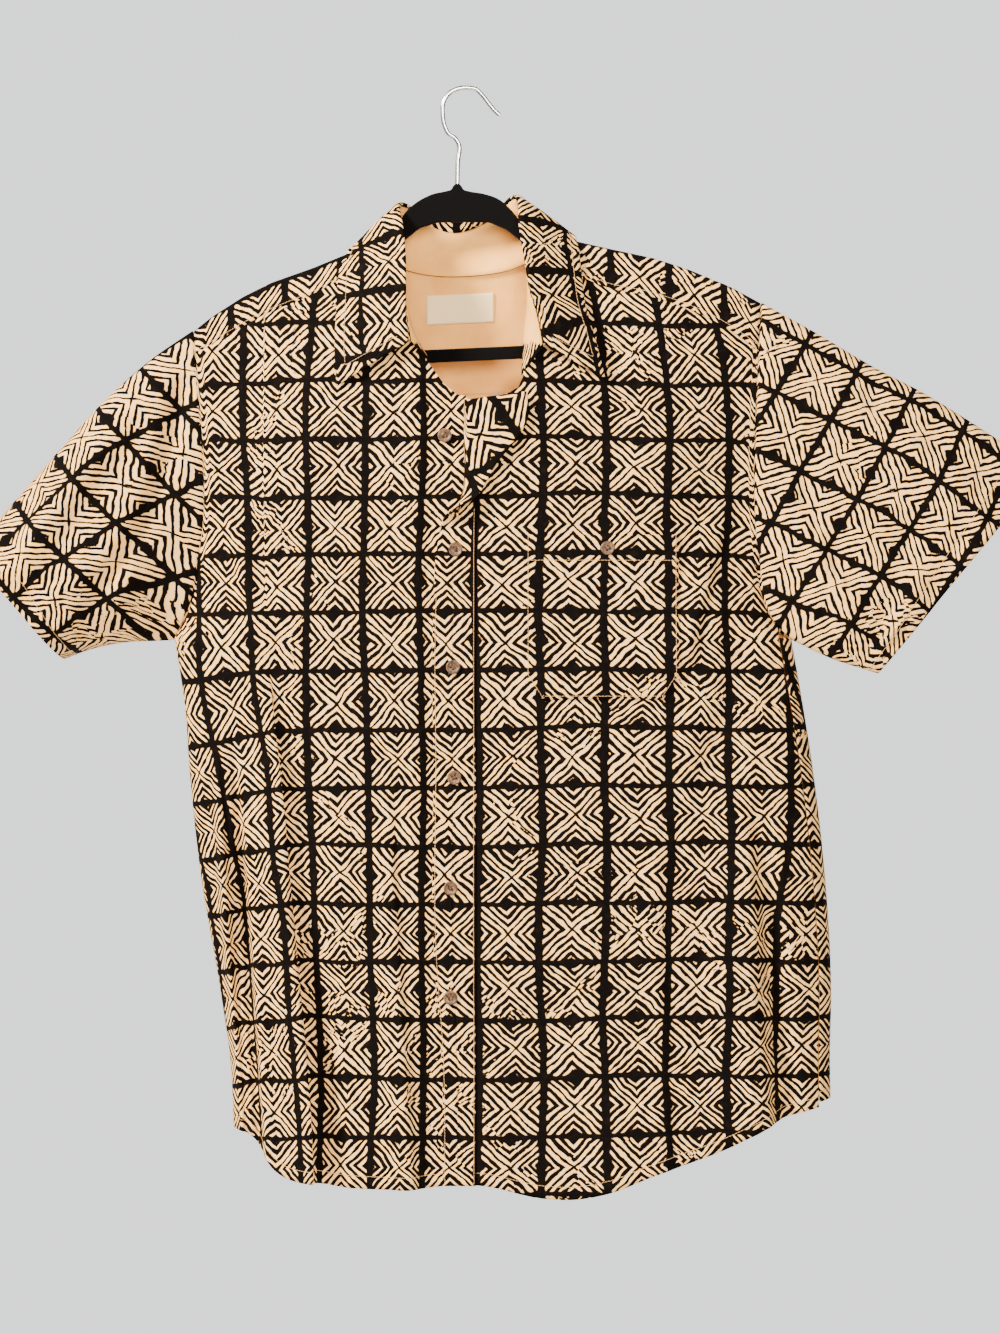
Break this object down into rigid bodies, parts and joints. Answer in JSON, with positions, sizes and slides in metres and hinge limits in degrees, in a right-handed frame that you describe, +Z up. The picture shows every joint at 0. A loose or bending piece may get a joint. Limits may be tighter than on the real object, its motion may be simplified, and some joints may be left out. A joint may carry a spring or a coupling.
{
  "type": "button-down shirt on a clothes hanger",
  "caption": "Short-sleeved button-down shirt with open collar, chest pocket and curved hem, hanging on a flat hanger with a wire hook.",
  "frame": {"origin": "the inside top of the hanger's hook, where a rail or a wall hook holds it", "axes": "+Z up, the shirt's front faces -Y, +X towards the wearer's left"},
  "size_m": [0.8818, 0.1283, 0.9127],
  "materials": {
    "printed_cotton": "matt cotton, black block print on cream",
    "plain_cotton": "matt cotton, the wrong side of the print",
    "tag": "woven satin tag",
    "horn": "brown horn, polished",
    "velvet": "black flocking over plastic",
    "hook_chrome": "chromed wire"
  },
  "bodies": {
    "root": {"front_left": "printed_cotton", "front_right": "printed_cotton", "back": "printed_cotton", "yoke": "printed_cotton", "sleeve_left": "printed_cotton", "sleeve_right": "printed_cotton", "collar_stand": "plain_cotton", "collar_fall": "printed_cotton", "placket": "printed_cotton", "pocket": "printed_cotton", "label": "tag", "button_1": "horn", "button_2": "horn", "button_3": "horn", "button_4": "horn", "button_5": "horn", "button_6": "horn", "pocket_button": "horn", "hanger_body": "velvet", "hanger_hook": "hook_chrome"}
  },
  "joints": []
}
